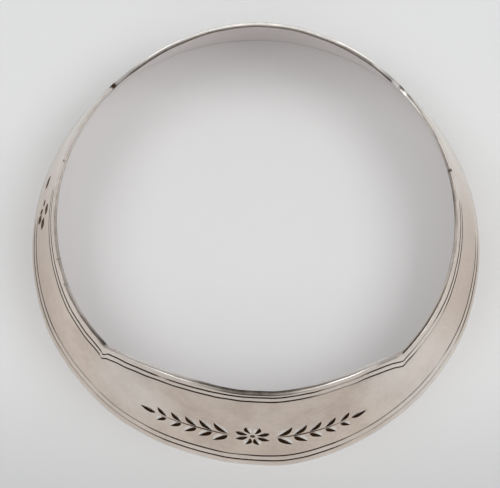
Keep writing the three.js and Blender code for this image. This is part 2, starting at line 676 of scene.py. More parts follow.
@dataclass(frozen=True)
class SheetSection:
    """The section of the engraved sheet at any angle, as a closed loop of a fixed number of points.

    It runs up the outer face from the foot, over the upper edge, down the inner face and along the flat
    foot. The dullings say how fast tarnish and painted shade take away the polish and painted highlight of
    the bevel and of the flat.
    The limit is the share of the sheet that the bevel can take, and the inner share says how far
    the flat has gone over to the tone of the inner corner at its second point.
    """

    wall: Wall
    corner_steps: int = 4
    margin_steps: int = 4
    ridge_steps: int = 8
    field_steps: int = 18
    inside_steps: int = 12
    field_roll: float = 0.3 * MM
    rim_polish: float = 0.6
    bevel_dulling: float = 3.0
    flat_dulling: float = 4.0
    bevel_limit: float = 0.6
    inner_share: float = 0.6

    def rounded(
        self, start: Vector, corner: Vector, end: Vector, wear: Wear, last: Wear | None = None
    ) -> list[SectionPoint]:
        """Points of a rounded corner.

        Args:
            start: Where the rounding begins, as height and depth.
            corner: The sharp corner that it stands for.
            end: Where the rounding ends.
            wear: Wear on the corner.
            last: Wear that it goes over to at its end, if it isn't the same.

        Returns:
            The points from start to end, both among them.
        """
        points = []
        for step in range(self.corner_steps + 1):
            share = step / self.corner_steps
            place = start.lerp(corner, share).lerp(corner.lerp(end, share), share)
            here = Wear(*(lerp(near, far, share**2) for near, far in zip(wear, last or wear)))
            points.append(SectionPoint(place.x, place.y, here, here))
        return points

    def ridge(self, low: SectionPoint, high: SectionPoint, steps: int) -> list[SectionPoint]:
        """Points of the rounded ridge between two lips.

        Args:
            low: The lower lip.
            high: The upper lip.
            steps: Number of stretches between the two.

        Returns:
            The points between the two, without them.
        """
        points = []
        for step in range(1, steps):
            share = step / steps
            across = 2.0 * share - 1.0
            depth = lerp(low.depth, high.depth, share) * across**2
            wear = Wear(0.0, lerp(BESIDE_CUT.polish_and_sheen, RUBBED_RIDGE.polish_and_sheen, 1.0 - across**2))
            points.append(SectionPoint(lerp(low.height, high.height, share), depth, wear, wear))
        return points

    def field(self, low: SectionPoint, high: SectionPoint) -> list[SectionPoint]:
        """Points of the plain field between the border lines.

        Args:
            low: Upper lip of the line below the field.
            high: Lower lip of the line above it.

        Returns:
            The points of the field, without the two lips.
        """
        start, end = low.height + self.field_roll, high.height - self.field_roll
        shares = (step / self.field_steps for step in range(self.field_steps + 1))
        return [SectionPoint(lerp(start, end, share), 0.0, PLAIN, PLAIN) for share in shares]

    def on_flat(self, tarnish_and_shade: float) -> Wear:
        """Wear of the upper edge's flat, which is painted shining, polish with a painted highlight, where it
        has little tarnish and painted shade.
        """
        return Wear(tarnish_and_shade, max(self.rim_polish, 1.0 - self.flat_dulling * tarnish_and_shade))

    def rim(self, angle: float) -> list[SectionPoint]:
        """Points over the upper edge, with its knocks and its painted shade and highlights.

        Args:
            angle: Place round the ring, in degrees.

        Returns:
            The points of the outer bevel, the flat behind it and the inner corner.
        """
        thick, rounding = self.wall.sizes.thickness, self.wall.sizes.edge_rounding
        *tones, polish_and_sheen, breadth = eased(RIM_TONES_AND_PAINTED_LIGHT, angle)
        top = self.wall.edge_height(angle)
        for nick in NICKS_AND_CORNER_SHADE:
            share = nick.share(angle)
            dark = min(nick.tarnish_and_shade * share, 1.0)
            top -= nick.depth * MM * share
            tones = [max(tone, dark) for tone in tones]
            polish_and_sheen *= 1.0 - min(dark, share)
        bevel, crest, flat, inner = tones
        breadth *= MM
        bevel_end = min(breadth, thick * self.bevel_limit)
        flat_end = thick - rounding
        points = self.rounded(
            Vector((top - breadth, 0.0)), Vector((top, 0.0)), Vector((top, bevel_end)),
            wear=Wear(bevel, max(self.rim_polish * smooth(self.bevel_dulling * bevel), polish_and_sheen)),
            last=Wear(crest, self.rim_polish),
        )
        flat_tones = (flat, lerp(flat, inner, self.inner_share))
        for step, tone in enumerate(flat_tones, start=1):
            depth = lerp(bevel_end, flat_end, step / (len(flat_tones) + 1))
            points.append(SectionPoint(top, depth, self.on_flat(tone), self.on_flat(tone)))
        corner = (Vector((top, flat_end)), Vector((top, thick)), Vector((top - rounding, thick)))
        return points + self.rounded(*corner, self.on_flat(inner))

    def inner_face(self, top: float) -> list[SectionPoint]:
        """Points down the inner face and round its corner with the flat foot.

        Args:
            top: Height that the face starts below.

        Returns:
            The points, without one at the top.
        """
        thick, slope = self.wall.sizes.thickness, self.wall.foot_slope
        rounding = self.wall.sizes.inner_foot_rounding
        foot = Vector((thick * slope, thick))
        face_end = foot + Vector((rounding, 0.0))
        flat_start = Vector(((thick - rounding) * slope, thick - rounding))
        shares = (step / self.inside_steps for step in range(1, self.inside_steps))
        face = [SectionPoint(lerp(top, face_end.x, share), thick, INSIDE, INSIDE) for share in shares]
        return face + self.rounded(face_end, foot, flat_start, INSIDE)

    def points(self, angle: float) -> list[SectionPoint]:
        """The whole section at an angle.

        Args:
            angle: Place round the ring, in degrees.

        Returns:
            The closed loop of points, the same number at every angle.
        """
        rounding = self.wall.sizes.edge_rounding
        flat_end = Vector((rounding * self.wall.foot_slope, rounding))
        foot = self.rounded(flat_end, Vector((0.0, 0.0)), Vector((rounding, 0.0)), RUBBED_EDGE)
        first, second, third, fourth = (
            line.groove(self.wall, angle) for line in (*FOOT_LINES, *TOP_LINES)
        )
        rim = self.rim(angle)
        return [
            *foot, *self.ridge(foot[-1], first[0], self.margin_steps),
            *first, *self.ridge(first[-1], second[0], self.ridge_steps),
            *second, *self.field(second[-1], third[0]),
            *third, *self.ridge(third[-1], fourth[0], self.ridge_steps),
            *fourth, *self.ridge(fourth[-1], rim[0], self.ridge_steps),
            *rim, *self.inner_face(rim[-1].height),
        ]

    @property
    def field_rows(self) -> range:
        """Rows of the section's loop that start a stretch of the plain field."""
        corner_points = self.corner_steps + 1
        ridge_points = self.margin_steps - 1 + self.ridge_steps - 1
        first = corner_points + ridge_points + 2 * LINE_POINTS
        return range(first, first + self.field_steps)


class CutPoint(NamedTuple):
    """A point of a cut: its length round the ring, its height and its depth."""

    arc: float
    height: float
    depth: float = 0.0

    @property
    def spot(self) -> Vector:
        """Its place on the face of the sheet, as length and height."""
        return Vector((self.arc, self.height))


class CutFacet(NamedTuple):
    """A flat of a cut, as places in a list of points, with its wear."""

    corners: tuple[int, ...]
    wear: Wear


@dataclass(frozen=True)
class CutShape:
    """The points and flats of one cut in the field."""

    points: tuple[CutPoint, ...]
    facets: tuple[CutFacet, ...]

    @property
    def outline(self) -> list[Vector]:
        """The places where the cut meets the face of the sheet, in order round it."""
        return [point.spot for point in self.points if point.depth == 0.0]


@dataclass(frozen=True)
class LeafCut:
    """One stroke of the graver: pointed at both ends, with a steep side painted dark, tarnish and painted
    shade, and a wide side painted bright, a painted highlight.

    A leaf starts at its base and grows along its turn, which is degrees up from the ring's run. Its
    steep side lies below its keel, and it is widest at a share of its length. Other sizes are metres.
    """

    base: tuple[float, float]
    turn: float
    length: float
    width: float
    depth: float = 0.2 * MM
    bend: float = 0.0
    keel_shift: float = -0.12
    widest: float = 0.42
    slimness: float = 0.85
    steps: int = 8
    # The steep side is tarnish with painted shade, and the wide side is a painted highlight.
    steep: Wear = Wear(1.0, 0.0)
    wide: Wear = Wear(0.0, 1.0)

    def half_width(self, share: float) -> float:
        """Half of the width, a share of the way along the leaf."""
        rise = share / self.widest if share < self.widest else (1.0 - share) / (1.0 - self.widest)
        return self.width / 2.0 * math.sin(rise * math.pi / 2.0) ** self.slimness

    def shape(self) -> CutShape:
        """Outline, keel and two sides of the leaf.

        Returns:
            The points and facets: the wide side lies above the keel and the steep one below.
        """
        turn = math.radians(self.turn)
        run = Vector((math.cos(turn), math.sin(turn)))
        across = Vector((-run.y, run.x))
        upward = 1.0 if across.y >= 0.0 else -1.0
        base = Vector(self.base)
        above, keel, below = [], [], []
        for step in range(1, self.steps):
            share = step / self.steps
            bow = self.bend * 4.0 * share * (1.0 - share)
            middle = base + run * self.length * share + across * bow
            half = self.half_width(share)
            above.append(CutPoint(*(middle + across * upward * half)))
            keel_place = middle + across * upward * half * self.keel_shift
            keel.append(CutPoint(*keel_place, self.depth * half * 2.0 / self.width))
            below.append(CutPoint(*(middle - across * upward * half)))
        tip = CutPoint(*(base + run * self.length))
        points = (CutPoint(*base), *above, tip, *reversed(below), *keel)
        count = self.steps - 1
        tip_index = count + 1
        above_range = range(1, tip_index)
        below_range = range(tip_index + 1, tip_index + 1 + count)
        keel_range = range(below_range.stop, below_range.stop + count)
        wide = (0, *keel_range, tip_index, *reversed(above_range))
        steep = (0, *reversed(below_range), tip_index, *reversed(keel_range))
        return CutShape(points, (CutFacet(steep, self.steep), CutFacet(wide, self.wide)))


@dataclass(frozen=True)
class PunchDent:
    """A blank punch struck into the field: a flat floor inside sloped sides, in metres."""

    middle: tuple[float, float]
    length: float
    width: float
    turn: float = 0.0
    depth: float = 0.16 * MM
    floor_share: float = 0.62
    roundness: float = 3.2
    steps: int = 20
    side: Wear = Wear(0.84, 0.0)
    floor: Wear = Wear(0.88, 0.0)

    def outline(self, share: float) -> list[tuple[float, float]]:
        """Rounded oblong round the middle.

        Args:
            share: Share of the full size.

        Returns:
            Its places, as length round the ring and height.
        """
        turn, power = math.radians(self.turn), 2.0 / self.roundness
        places = []
        for step in range(self.steps):
            way = 2.0 * math.pi * step / self.steps
            along, up = (
                math.copysign(abs(part) ** power, part) * size / 2.0 * share
                for part, size in ((math.cos(way), self.length), (math.sin(way), self.width))
            )
            arc = self.middle[0] + along * math.cos(turn) - up * math.sin(turn)
            places.append((arc, self.middle[1] + along * math.sin(turn) + up * math.cos(turn)))
        return places

    def shape(self) -> CutShape:
        """Rim, floor and sloped sides of the dent.

        Returns:
            The points of the rim and the floor, and the flats of the floor and the sides.
        """
        rim = [CutPoint(*place) for place in self.outline(1.0)]
        floor = [CutPoint(*place, self.depth) for place in self.outline(self.floor_share)]
        count = self.steps
        facets = [CutFacet(tuple(range(count, 2 * count)), self.floor)]
        for place, following in neighbours(range(count)):
            corners = (place, following, count + following, count + place)
            facets.append(CutFacet(corners, self.side))
        return CutShape((*rim, *floor), tuple(facets))


Cut = LeafCut | PunchDent


def comes_near(outline: Sequence[Vector], place: Vector, gap: float) -> bool:
    """Whether a point of an outline lies nearer to a place than a gap."""
    return any((place - spot).length_squared < gap**2 for spot in outline)


def encloses(outline: Sequence[Vector], place: Vector) -> bool:
    """Whether a closed outline runs round a place.

    Args:
        outline: The outline's corners, in order.
        place: The place.

    Returns:
        True where a line to the right of the place crosses the outline an odd number of times.
    """
    inside = False
    for spot, following in neighbours(outline):
        if (spot.y > place.y) != (following.y > place.y):
            share = (place.y - spot.y) / (following.y - spot.y)
            if place.x < lerp(spot.x, following.x, share):
                inside = not inside
    return inside


def anticlockwise(corners: list[int], spots: Sequence[Vector]) -> list[int]:
    """The corners of a polygon, turned round if they run clockwise.

    Args:
        corners: Places of the corners in the list of spots.
        spots: Spots on the face of the sheet.

    Returns:
        The corners, in anticlockwise order.
    """
    area = sum(spots[corner].cross(spots[following]) for corner, following in neighbours(corners))
    return corners if area > 0.0 else corners[::-1]


class MeshDraft:
    """Vertices, faces and wear of a mesh that is being made."""

    def __init__(self, wall: Wall) -> None:
        """Starts an empty draft on a wall."""
        self.wall = wall
        self.points: list[Vector] = []
        self.places: list[Vector] = []
        self.faces: list[tuple[int, ...]] = []
        self.wear: list[Wear] = []
        self.creases: set[tuple[int, int]] = set()

    def add_point(self, angle: float, height: float, depth: float) -> int:
        """Adds a point of the wall.

        Args:
            angle: Place round the ring, in degrees.
            height: Place up the slope.
            depth: Depth into the sheet from its outer face.

        Returns:
            The point's index.
        """
        self.points.append(self.wall.point(angle, height, depth))
        self.places.append(Vector((self.wall.arc(angle), height, depth)))
        return len(self.points) - 1

    def add_face(self, corners: Sequence[int], wear: Sequence[Wear]) -> None:
        """Adds a face with the wear at each of its corners."""
        self.faces.append(tuple(corners))
        self.wear.extend(wear)

    def add_crease(self, start: int, end: int) -> None:
        """Marks an edge that is drawn sharp."""
        self.creases.add((min(start, end), max(start, end)))

    def finish(self, name: str) -> bpy.types.Object:
        """Turns the draft into a smooth object.

        Args:
            name: Name of the object and its mesh.

        Returns:
            The object, linked to the scene at the origin.
        """
        mesh = bpy.data.meshes.new(name)
        mesh.from_pydata(self.points, [], self.faces)
        mesh.shade_smooth()
        for edge in mesh.edges:
            start, end = sorted(edge.vertices)
            edge.use_edge_sharp = (start, end) in self.creases
        place = mesh.attributes.new(WALL_PLACE, "FLOAT_VECTOR", "POINT")
        place.data.foreach_set("vector", [part for spot in self.places for part in spot])
        for kind, values in zip(Wear._fields, zip(*self.wear)):
            layer = mesh.attributes.new(kind, "FLOAT", "CORNER")
            layer.data.foreach_set("value", values)
        mesh.update()
        return linked(name, mesh)


class PatchPlan(NamedTuple):
    """A patch laid flat: its spots, the depth of each, and the flats that lie over each other on them."""

    spots: list[Vector]
    depths: list[float]
    facets: list[CutFacet]


# The triangulation gives only the triangles inside the outlines that it gets.
TRIANGLES_INSIDE = 1


@dataclass
class CutPatch:
    """A stretch of the field that holds cuts, between two angles in degrees.

    Between the cuts it has an even lattice of points, which keeps a clearance from them. Points
    closer than the weld gap become one.
    """

    start: float
    end: float
    cuts: list[Cut]
    spacing: float = 0.8 * MM
    clearance: float = 0.22 * MM
    weld_gap: float = 1e-5 * MM

    def covers(self, angle: float, next_angle: float) -> bool:
        """Whether the stretch between two neighbouring columns lies in the patch."""
        return self.start < (angle + next_angle) / 2.0 < self.end

    def is_plain(self, place: Vector, rim: list[Vector], outlines: list[list[Vector]]) -> bool:
        """Whether a place lies well inside the patch and clear of every cut.

        Args:
            place: The place, as length round the ring and height.
            rim: Border of the patch.
            outlines: Outlines of the cuts.

        Returns:
            True where the sheet is plain.
        """
        if not encloses(rim, place) or comes_near(rim, place, self.spacing / 2.0):
            return False
        return not any(
            comes_near(outline, place, self.clearance) or encloses(outline, place) for outline in outlines
        )

    def lattice(self, wall: Wall, rim: list[Vector], outlines: list[list[Vector]]) -> list[Vector]:
        """Evenly spaced places where the sheet is plain, each row shifted against the next.

        Args:
            wall: Wall that the patch lies on.
            rim: Border of the patch.
            outlines: Outlines of the cuts.

        Returns:
            The places, as length round the ring and height.
        """
        start, end = wall.arc(self.start), wall.arc(self.end)
        heights = [spot.y for spot in rim]
        low, high = min(heights), max(heights)
        columns, rows = int((end - start) / self.spacing), int((high - low) / self.spacing)
        grid = (
            Vector((lerp(start, end, (column + row % 2 / 2.0) / columns), lerp(low, high, row / rows)))
            for column in range(1, columns)
            for row in range(1, rows)
        )
        return [place for place in grid if self.is_plain(place, rim, outlines)]

    def plan(self, wall: Wall, rim: list[Vector]) -> PatchPlan:
        """Lays out the border, the cuts and the plain places between them.

        Args:
            wall: Wall that the patch lies on.
            rim: Border of the patch, as length round the ring and height.

        Returns:
            The plan, which starts with the border's spots and the plain face of the sheet.
        """
        spots, depths = list(rim), [0.0] * len(rim)
        facets = [CutFacet(tuple(range(len(rim))), PLAIN)]
        outlines = []
        for shape in (cut.shape() for cut in self.cuts):
            first = len(spots)
            spots += [point.spot for point in shape.points]
            depths += [point.depth for point in shape.points]
            outlines.append(shape.outline)
            for facet in shape.facets:
                corners = anticlockwise([first + corner for corner in facet.corners], spots)
                facets.append(CutFacet(tuple(corners), facet.wear))
        plain = self.lattice(wall, rim, outlines)
        return PatchPlan(spots + plain, depths + [0.0] * len(plain), facets)

    def fill(self, draft: MeshDraft, border: Sequence[int]) -> None:
        """Fills the patch with triangles that hold the cuts, with a crease where two flats meet.

        Args:
            draft: Mesh that the patch belongs to.
            border: Indices of the patch's border, in order round it, seen from outside.
        """
        plan = self.plan(draft.wall, [draft.places[index].xy for index in border])
        per_mm = 1.0 / MM
        spots, _, triangles, sources, _, covers = delaunay_2d_cdt(
            [spot * per_mm for spot in plan.spots],
            list(neighbours(range(len(border)))),
            [list(facet.corners) for facet in plan.facets],
            TRIANGLES_INSIDE,
            self.weld_gap * per_mm,
            True,
        )
        made: list[int] = []
        for spot, source in zip(spots, sources):
            if source and source[0] < len(border):
                made.append(border[source[0]])
                continue
            place = spot / per_mm
            depth = plan.depths[source[0]] if source else 0.0
            made.append(draft.add_point(draft.wall.angle_at(place.x), place.y, depth))
        sides: dict[tuple[int, int], int] = {}
        for triangle, covering in zip(triangles, covers):
            if not covering:
                continue
            facet = max(covering)
            corners = [made[corner] for corner in triangle]
            draft.add_face(corners, [plan.facets[facet].wear] * len(corners))
            for start, end in neighbours(corners):
                side = (min(start, end), max(start, end))
                if sides.setdefault(side, facet) != facet:
                    draft.add_crease(*side)


@dataclass
class SheetSweep:
    """A length of the engraved sheet between two angles, swept as a grid and closed at its ends.

    The least step is the share of a column's step that the even columns keep from the ends. Sunk
    gives how much deeper a point lies than in the section.
    """

    name: str
    section: SheetSection
    start: float
    end: float
    column_step: float = 0.5
    kink_turn: float = 0.12
    least_step: float = 0.3
    patches: list[CutPatch] = field(default_factory=list)
    sunk: Callable[[float, SectionPoint], float] | None = None

    def columns(self) -> list[float]:
        """Angles of the columns: even steps, the ends, and three close ones at shoulders and knocks.

        Returns:
            The angles in order.
        """
        sizes, step = self.section.wall.sizes, self.column_step
        first = math.ceil((self.start + step * self.least_step) / step)
        last = math.floor((self.end - step * self.least_step) / step)
        angles = {self.start, self.end, *(number * step for number in range(first, last + 1))}
        kinks = [nick.angle for nick in NICKS_AND_CORNER_SHADE]
        for plate in (sizes.label_plate_angle, sizes.back_plate_angle):
            kinks += [plate - sizes.plate_half_angle, plate + sizes.plate_half_angle]
        nudges = (-self.kink_turn, 0.0, self.kink_turn)
        close = (
            kink + nudge + turn for kink in kinks for nudge in nudges for turn in (0.0, FULL_TURN)
        )
        angles.update(angle for angle in close if self.start < angle < self.end)
        return sorted(angles)

    def build(self) -> bpy.types.Object:
        """Makes the length of sheet.

        Returns:
            The object of the whole length.
        """
        draft = MeshDraft(self.section.wall)
        angles = self.columns()
        loops = [self.section.points(angle) for angle in angles]
        rows = len(loops[0])
        grid: list[list[int]] = []
        for angle, loop in zip(angles, loops):
            sinks = [self.sunk(angle, point) if self.sunk else 0.0 for point in loop]
            grid.append([
                draft.add_point(angle, point.height, point.depth + sink)
                for point, sink in zip(loop, sinks)
            ])
        for place, pair in enumerate(zip(angles, angles[1:])):
            patched = any(patch.covers(*pair) for patch in self.patches)
            near, far = loops[place], loops[place + 1]
            left, right = grid[place], grid[place + 1]
            for row, above in neighbours(range(rows)):
                if near[row].crease:
                    draft.add_crease(left[row], right[row])
                if patched and row in self.section.field_rows:
                    continue
                corners = (left[row], right[row], right[above], left[above])
                wear = (near[row].after, far[row].after, far[above].before, near[above].before)
                draft.add_face(corners, wear)
        for patch in self.patches:
            patch.fill(draft, self.border_of(patch, angles, grid))
        for corners in (grid[0][::-1], grid[-1]):
            draft.add_face(corners, [CUT_END] * rows)
            for start, end in neighbours(corners):
                draft.add_crease(start, end)
        return draft.finish(self.name)

    def border_of(self, patch: CutPatch, angles: list[float], grid: list[list[int]]) -> list[int]:
        """Indices of the border of a patch, in order round it, seen from outside.

        Args:
            patch: Patch whose border is wanted.
            angles: Angles of the columns.
            grid: Index of each point, by column and row.

        Returns:
            The indices, anticlockwise from the lower left corner.
        """
        bottom, top = self.section.field_rows.start, self.section.field_rows.stop
        covered = [
            place for place, pair in enumerate(zip(angles, angles[1:])) if patch.covers(*pair)
        ]
        left, right = covered[0], covered[-1] + 1
        return [
            *(grid[place][bottom] for place in range(left, right)),
            *grid[right][bottom:top],
            *(grid[place][top] for place in range(right, left, -1)),
            *grid[left][top:bottom:-1],
        ]


@dataclass(frozen=True)
class LaurelBand:
    """The bright-cut ornament on the label plate: a rosette between two laurel sprays.

    Sizes are in metres and turns in degrees. The trim is the share of a pitch that the stem stops short.
    """

    middle_height: float = 10.6 * MM
    end_drop: float = 0.9 * MM
    petal_count: int = 8
    petal_length: float = 2.45 * MM
    petal_width: float = 1.5 * MM
    petal_widest: float = 0.55
    rosette_hole: float = 0.9 * MM
    eye_size: float = 1.0 * MM
    eye_roundness: float = 2.0
    eye_steps: int = 12
    stem_start: float = 4.0 * MM
    stem_width: float = 0.42 * MM
    stem_depth: float = 0.12 * MM
    stem_widest: float = 0.3
    stem_trim: float = 0.35
    stem_steps: int = 20
    stem_side: Wear = Wear(0.9, 0.0)
    leaf_start: float = 0.5 * MM
    leaf_pitch: float = 2.9 * MM
    leaf_pairs: int = 5
    leaf_length: float = 3.9 * MM
    leaf_width: float = 1.85 * MM
    leaf_turn: float = 47.0
    leaf_bend: float = 0.18 * MM
    leaf_gap: float = 0.3 * MM
    slope_step: float = 1.0 * MM
    tip_shrink: float = 0.3
    tip_gap: float = 0.25 * MM
    tip_leaf_length: float = 3.2 * MM
    tip_leaf_width: float = 1.665 * MM

    @property
    def stem_length(self) -> float:
        """Length of a spray's stem."""
        return self.leaf_start + self.leaf_pitch * (self.leaf_pairs - self.stem_trim)

    def stem_height(self, along: float) -> float:
        """Height of the stem's line, at a distance from the rosette's middle."""
        reach = self.stem_start + self.stem_length + self.tip_leaf_length
        return self.middle_height - self.end_drop * (along / reach) ** 2

    def rosette(self) -> list[Cut]:
        """Petals round a punched eye.

        Returns:
            The eye and the petals, each petal with its base towards the eye.
        """
        middle, hole = self.middle_height, self.rosette_hole
        eye = PunchDent(
            (0.0, middle), self.eye_size, self.eye_size, roundness=self.eye_roundness, steps=self.eye_steps
        )
        cuts: list[Cut] = [eye]
        for petal in range(self.petal_count):
            turn = FULL_TURN * (petal + 0.5) / self.petal_count
            way = math.radians(turn)
            base = (hole * math.cos(way), middle + hole * math.sin(way))
            petal_cut = LeafCut(base, turn, self.petal_length, self.petal_width, widest=self.petal_widest)
            cuts.append(petal_cut)
        return cuts

    def leaf(self, side: float, up: float, pair: int) -> LeafCut:
        """One leaf beside a stem.

        Args:
            side: -1 for the left spray and 1 for the right one.
            up: -1 for a leaf below the stem and 1 for one above it.
            pair: Number of the leaf's pair, counted from the rosette.

        Returns:
            The leaf, smaller towards the tip of the spray.
        """
        along = self.stem_start + self.leaf_start + self.leaf_pitch * pair
        size = 1.0 - self.tip_shrink * pair / (self.leaf_pairs - 1)
        foot, ahead = self.stem_height(along), self.stem_height(along + self.slope_step)
        turn = math.degrees(math.atan2(ahead - foot, self.slope_step)) + up * self.leaf_turn
        return LeafCut(
            (side * along, foot + up * self.leaf_gap),
            turn if side > 0.0 else HALF_TURN - turn,
            self.leaf_length * size,
            self.leaf_width * size,
            bend=-side * up * self.leaf_bend,
        )

    def spray(self, side: float) -> list[Cut]:
        """One laurel spray.

        Args:
            side: -1 for the left spray and 1 for the right one.

        Returns:
            Its stem, its pairs of leaves and the leaf at its tip.
        """
        ends = (self.stem_start, self.stem_start + self.stem_length)
        start, end = ((side * along, self.stem_height(along)) for along in ends)
        turn = math.degrees(math.atan2(end[1] - start[1], end[0] - start[0]))
        bow = self.stem_height(sum(ends) / 2.0) - (start[1] + end[1]) / 2.0
        stem = LeafCut(
            start, turn, math.dist(start, end), self.stem_width, self.stem_depth, bend=side * bow,
            keel_shift=0.0, widest=self.stem_widest, steps=self.stem_steps, wide=self.stem_side,
        )
        leaves = [self.leaf(side, up, pair) for pair in range(self.leaf_pairs) for up in (-1.0, 1.0)]
        tip_base = (end[0] + side * self.tip_gap, end[1])
        return [stem, *leaves, LeafCut(tip_base, turn, self.tip_leaf_length, self.tip_leaf_width)]

    def cuts(self) -> list[Cut]:
        """Every cut of the band."""
        return self.rosette() + self.spray(-1.0) + self.spray(1.0)


Feed = bpy.types.NodeSocket | float | tuple[float, ...]
# Places of the two colours and of the result among the inputs and outputs of a mix.
COLOUR_A = 6
COLOUR_B = 7
COLOUR_RESULT = 2
# Share of a spot's reach over which it is full.
SPOT_CORE = 0.25


class Nodes:
    """A node tree, with short calls for the nodes that the finishes use."""

    def __init__(self, tree: bpy.types.NodeTree) -> None:
        """Empties a node tree and keeps it."""
        self.tree = tree
        tree.nodes.clear()

    def add(
        self, kind: str, inputs: dict[int | str, Feed] | None = None, **settings: object
    ) -> bpy.types.Node:
        """Adds a node.

        Args:
            kind: Kind of the node.
            inputs: What its inputs are fed with, by name or number.
            **settings: Its own properties, by name.

        Returns:
            The node.
        """
        node = self.tree.nodes.new(kind)
        for name, value in settings.items():
            setattr(node, name, value)
        for name, value in (inputs or {}).items():
            self.feed(node.inputs[name], value)
        return node

    def feed(self, socket: bpy.types.NodeSocket, value: Feed) -> None:
        """Links an input to another node's output, or sets its value.

        Args:
            socket: The input.
            value: The output that feeds it, or its number, vector or colour.
        """
        if isinstance(value, bpy.types.NodeSocket):
            self.tree.links.new(value, socket)
        else:
            socket.default_value = (*value, 1.0) if socket.type == "RGBA" else value

    def space(self, output: str) -> bpy.types.NodeSocket:
        """The place in space, in the coordinates that the output names."""
        return self.add("ShaderNodeTexCoord").outputs[output]

    def carried(self, name: str, output: str = "Fac") -> bpy.types.NodeSocket:
        """A value that the mesh carries."""
        return self.add("ShaderNodeAttribute", attribute_name=name).outputs[output]

    def part(self, place: Feed, axis: str) -> bpy.types.NodeSocket:
        """One coordinate of a place."""
        return self.add("ShaderNodeSeparateXYZ", {0: place}).outputs[axis]

    def math(self, kind: str, first: Feed, second: Feed, clamp: bool = False) -> bpy.types.NodeSocket:
        """A calculation with two numbers."""
        node = self.add("ShaderNodeMath", {0: first, 1: second}, operation=kind, use_clamp=clamp)
        return node.outputs[0]

    def between(self, share: Feed, low: Feed, high: Feed) -> bpy.types.NodeSocket:
        """A number that lies a share of the way from low to high."""
        inputs = {"Factor": share, "A": low, "B": high}
        return self.add("ShaderNodeMix", inputs, data_type="FLOAT").outputs["Result"]

    def blend(self, share: Feed, first: Feed, second: Feed) -> bpy.types.NodeSocket:
        """A colour that lies a share of the way from the first to the second."""
        inputs = {"Factor": share, COLOUR_A: first, COLOUR_B: second}
        return self.add("ShaderNodeMix", inputs, data_type="RGBA").outputs[COLOUR_RESULT]

    def window(self, value: Feed, ends: tuple[float, float]) -> bpy.types.NodeSocket:
        """How far a value has come from one end to the other, eased and held from 0 to 1."""
        inputs = {"Value": value, "From Min": ends[0], "From Max": ends[1]}
        return self.add("ShaderNodeMapRange", inputs, interpolation_type="SMOOTHSTEP").outputs["Result"]

    def cloud(
        self, place: Feed, scale: float, detail: float, roughness: float = 0.5
    ) -> bpy.types.NodeSocket:
        """Noise from 0 to 1."""
        inputs = {"Vector": place, "Scale": scale, "Detail": detail, "Roughness": roughness}
        return self.add("ShaderNodeTexNoise", inputs).outputs["Fac"]

    def spot(self, place: Feed, middle: Feed, reach: float) -> bpy.types.NodeSocket:
        """A soft round spot that is 1 near its middle and 0 from its reach on."""
        apart = self.add("ShaderNodeVectorMath", {0: place, 1: middle}, operation="DISTANCE")
        return self.window(apart.outputs["Value"], (reach, reach * SPOT_CORE))

    def stretched(self, place: Feed, scale: tuple[float, ...], turn: float) -> bpy.types.NodeSocket:
        """Coordinates turned in the wall's plane, in degrees, and scaled.

        Args:
            place: Coordinates on the wall.
            scale: Scale along each of the turned axes.
            turn: Turn of the axes.

        Returns:
            The new coordinates.
        """
        inputs = {"Vector": place, "Angle": math.radians(turn)}
        turned = self.add("ShaderNodeVectorRotate", inputs, rotation_type="Z_AXIS").outputs["Vector"]
        return self.add("ShaderNodeMapping", {"Vector": turned, "Scale": scale}).outputs["Vector"]

    def surface(self, inputs: dict[int | str, Feed]) -> None:
        """Makes the shader of a surface, fed by name."""
        shader = self.add("ShaderNodeBsdfPrincipled", inputs)
        self.add("ShaderNodeOutputMaterial", {"Surface": shader.outputs["BSDF"]})

    def bump(self, height: Feed, depth: float, **others: object) -> bpy.types.Node:
        """A relief of the surface, as a node whose inputs can take more."""
        inputs = {"Strength": 1.0, "Distance": depth, "Height": height}
        return self.add("ShaderNodeBump", inputs, **others)


@dataclass(frozen=True)
class ToneSpot:
    """A soft spot of the wall painted lighter, towards the rubbed colour, and painted darker, towards the
    patina, where the share is below 0.

    Place and reach are in metres.
    """

    place: tuple[float, float, float]
    reach: float
    share: float


# Soft spots of the wall painted lighter and darker.
TONE_SPOTS: tuple[ToneSpot, ...] = (
    # Painted highlight: the broad sheen of the right front lamp on the wall.
    ToneSpot((32.0 * MM, -24.0 * MM, 5.0 * MM), 18.0 * MM, 0.42),
    # Lighter spots high on both sides of the label plate.
    ToneSpot((-22.5 * MM, -31.0 * MM, 12.5 * MM), 12.0 * MM, 0.42),
    ToneSpot((24.0 * MM, -29.0 * MM, 15.5 * MM), 9.0 * MM, 0.28),
    # Painted shade: the wall's sides darkened for the darker floor beside the ring that they mirror.
    ToneSpot((39.0 * MM, -5.0 * MM, 9.0 * MM), 21.0 * MM, -1.0),
    ToneSpot((-39.5 * MM, -5.0 * MM, 7.0 * MM), 20.0 * MM, -0.8),
    # Painted shade: the wall darkened low at the label's middle, for the darker floor in front that it
    # mirrors.
    ToneSpot((6.0 * MM, -41.0 * MM, 2.0 * MM), 8.0 * MM, -0.8),
)


@dataclass(frozen=True)
class Grain:
    """A cloudy pattern in the metal, with the size of its clouds in metres.

    The window is the span of its values over which what it stands for goes from none to full.
    """

    size: float
    detail: float
    roughness: float
    window: tuple[float, float] = (0.0, 1.0)

    def cloud(self, nodes: Nodes, space: bpy.types.NodeSocket) -> bpy.types.NodeSocket:
        """The pattern in space, from 0 to 1."""
        return nodes.cloud(space, 1.0 / self.size, self.detail, self.roughness)


class Marks(NamedTuple):
    """Where a finish shows its marks, each as an output of its node tree that goes from 0 to 1.

    Space is the place itself, in metres.
    """

    space: bpy.types.NodeSocket
    aged: bpy.types.NodeSocket
    blush: bpy.types.NodeSocket
    bright: bpy.types.NodeSocket
    scratches: bpy.types.NodeSocket
    held: bpy.types.NodeSocket


